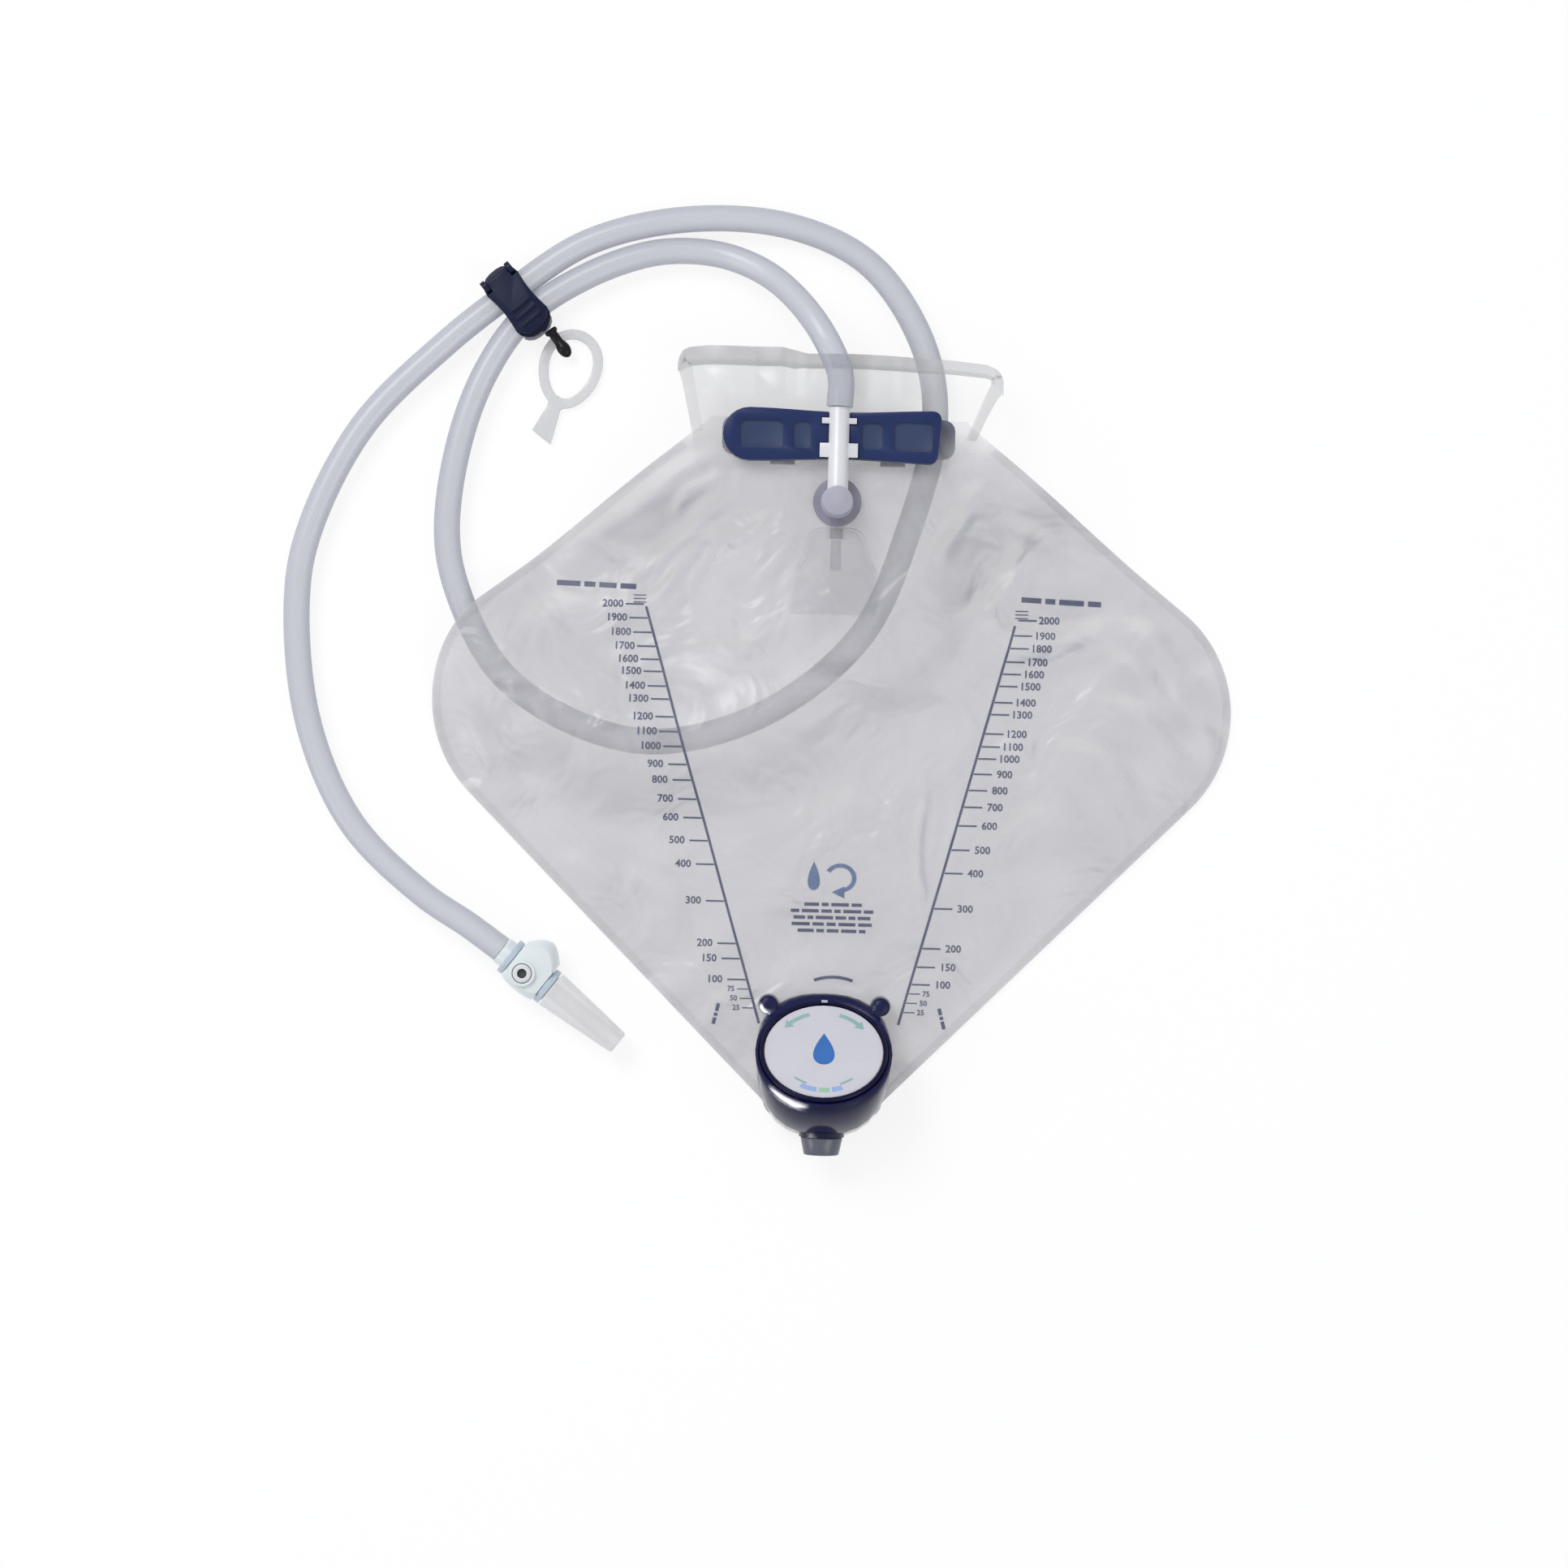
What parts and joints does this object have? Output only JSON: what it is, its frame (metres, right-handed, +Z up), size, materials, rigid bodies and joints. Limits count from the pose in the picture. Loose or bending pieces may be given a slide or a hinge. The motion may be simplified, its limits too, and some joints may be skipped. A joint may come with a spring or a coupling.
{
  "type": "urine drainage bag",
  "caption": "Bedside urine drainage bag with a hook hanger, clear inlet tube, sampling port, tube clip and a rotary drain valve.",
  "frame": {"origin": "centre of the bag's outline at the surface it lies on, halfway between the spout's end and the header's top edge", "axes": "+Z up from the bag's back film to its front film, +Y from the drain valve to the hanger, +X across the bag, to the right as its front is seen"},
  "size_m": [0.3439, 0.3418, 0.0393],
  "materials": {
    "film": "milky, soft, slightly wrinkled film",
    "header_sheet": "thin translucent film",
    "hanger": "semi-gloss moulded",
    "inlet": "glossy moulded",
    "chamber": "clear moulded",
    "flutter": "soft, thin",
    "tube": "clear, soft",
    "clip": "semi-gloss moulded",
    "clip_bead": "moulded",
    "strap": "soft, milky",
    "connector": "glossy moulded",
    "septum": "matt",
    "collar": "translucent",
    "adapter": "translucent",
    "valve": "semi-gloss moulded",
    "dial": "smooth, printed",
    "seal": "matt",
    "spout": "semi-gloss moulded"
  },
  "bodies": {
    "bag": {"back_film": "film", "front_film": "film", "header_panel": "header_sheet", "header_hem": "header_sheet", "hanger_hooks": "hanger", "hanger_bar": "hanger", "inlet_elbow": "inlet", "chamber_cap": "chamber", "chamber_bell": "chamber", "flutter_valve": "flutter", "drain_tube": "tube", "clip_base": "clip", "clip_bead": "clip_bead", "strap_loop": "strap", "sample_port_body": "connector", "port_septum": "septum", "tube_collar": "collar", "adapter_collar": "collar", "catheter_adapter": "adapter", "valve_body": "valve", "outlet_flange": "chamber", "outlet_spout": "spout"},
    "knob": {"valve_knob": "valve", "dial_plate": "dial", "valve_spindle": "chamber", "spindle_seal": "seal"},
    "jaw": {"clip_jaw": "clip"}
  },
  "joints": [
    {"name": "valve_turn", "type": "hinge", "parent": "bag", "child": "knob", "pos_m": [0, -0.1056, 0.02248], "axis": [0, 0.682, 0.7314], "range_deg": [0, 90]},
    {"name": "clip_hinge", "type": "hinge", "parent": "bag", "child": "jaw", "pos_m": [-0.12415, 0.16983, 0.0137], "axis": [-0.7547, -0.6561, 0], "range_deg": [0, 65]}
  ]
}
